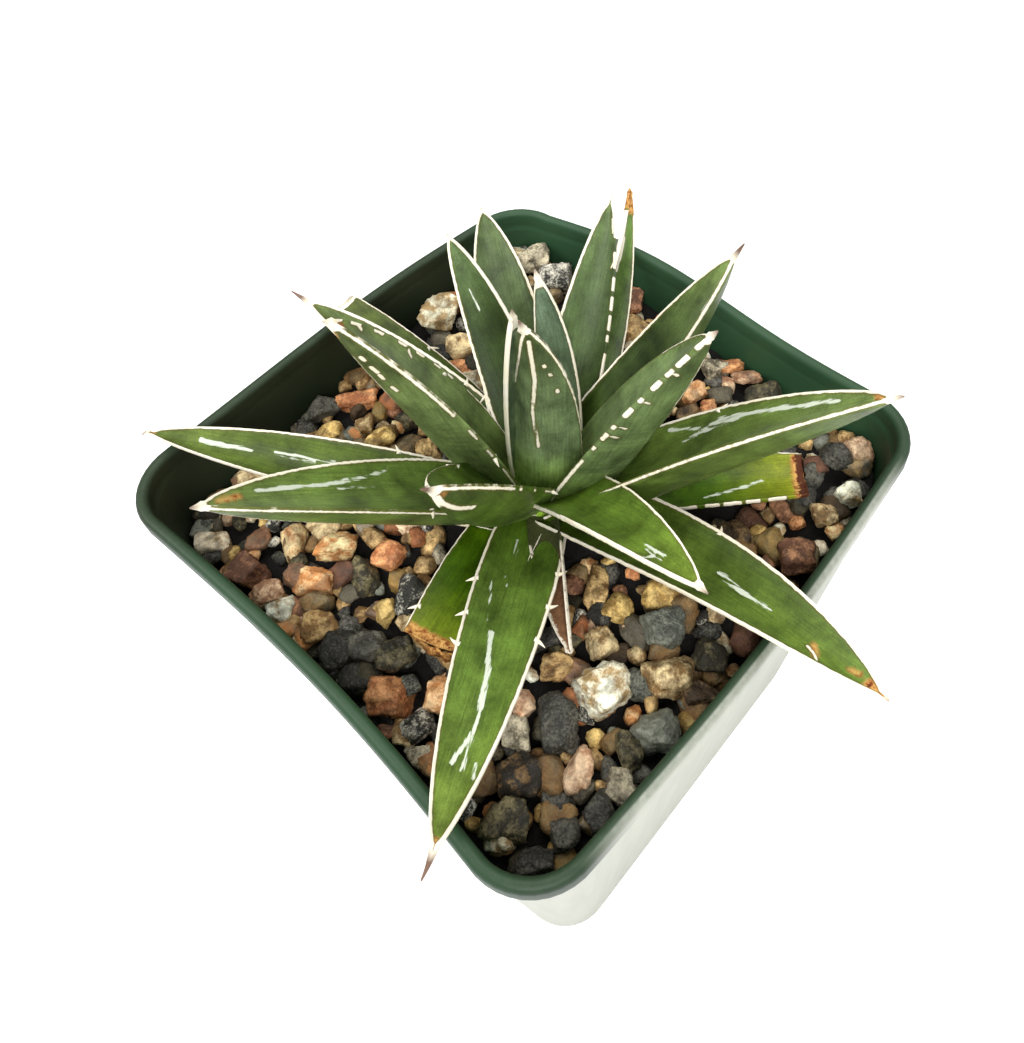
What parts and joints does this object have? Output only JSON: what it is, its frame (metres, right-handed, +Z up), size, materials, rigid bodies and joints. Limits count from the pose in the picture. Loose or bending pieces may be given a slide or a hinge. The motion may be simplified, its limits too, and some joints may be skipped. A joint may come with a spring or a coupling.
{
  "type": "potted agave",
  "caption": "Young Queen Victoria agave: a rosette of keeled, white-margined leaves on a short stem, in a square nursery pot topped with gravel.",
  "frame": {"origin": "middle of the pot's flat underside", "axes": "+Z up; X and Y run along the pot's sides; the gravel is heaped up towards +X"},
  "size_m": [0.1025, 0.1088, 0.1167],
  "materials": {
    "pot": "satin",
    "gravel": "matte",
    "stem": "matte",
    "leaf": "satin",
    "dried_leaf": "matte"
  },
  "bodies": {
    "root": {"bud_leaf_back": "leaf", "bud_leaf_front": "leaf", "bud_leaf_right": "leaf", "cut_leaf_back": "leaf", "cut_leaf_front": "leaf", "cut_leaf_right": "leaf", "dried_leaf": "dried_leaf", "gravel_bed": "gravel", "leaf_01": "leaf", "leaf_02": "leaf", "leaf_03": "leaf", "leaf_04": "leaf", "leaf_05": "leaf", "leaf_06": "leaf", "leaf_07": "leaf", "leaf_08": "leaf", "leaf_09": "leaf", "leaf_10": "leaf", "leaf_11": "leaf", "leaf_12": "leaf", "leaf_13": "leaf", "leaf_14": "leaf", "leaf_15": "leaf", "pot": "pot", "rosette_stem": "stem"}
  },
  "joints": []
}
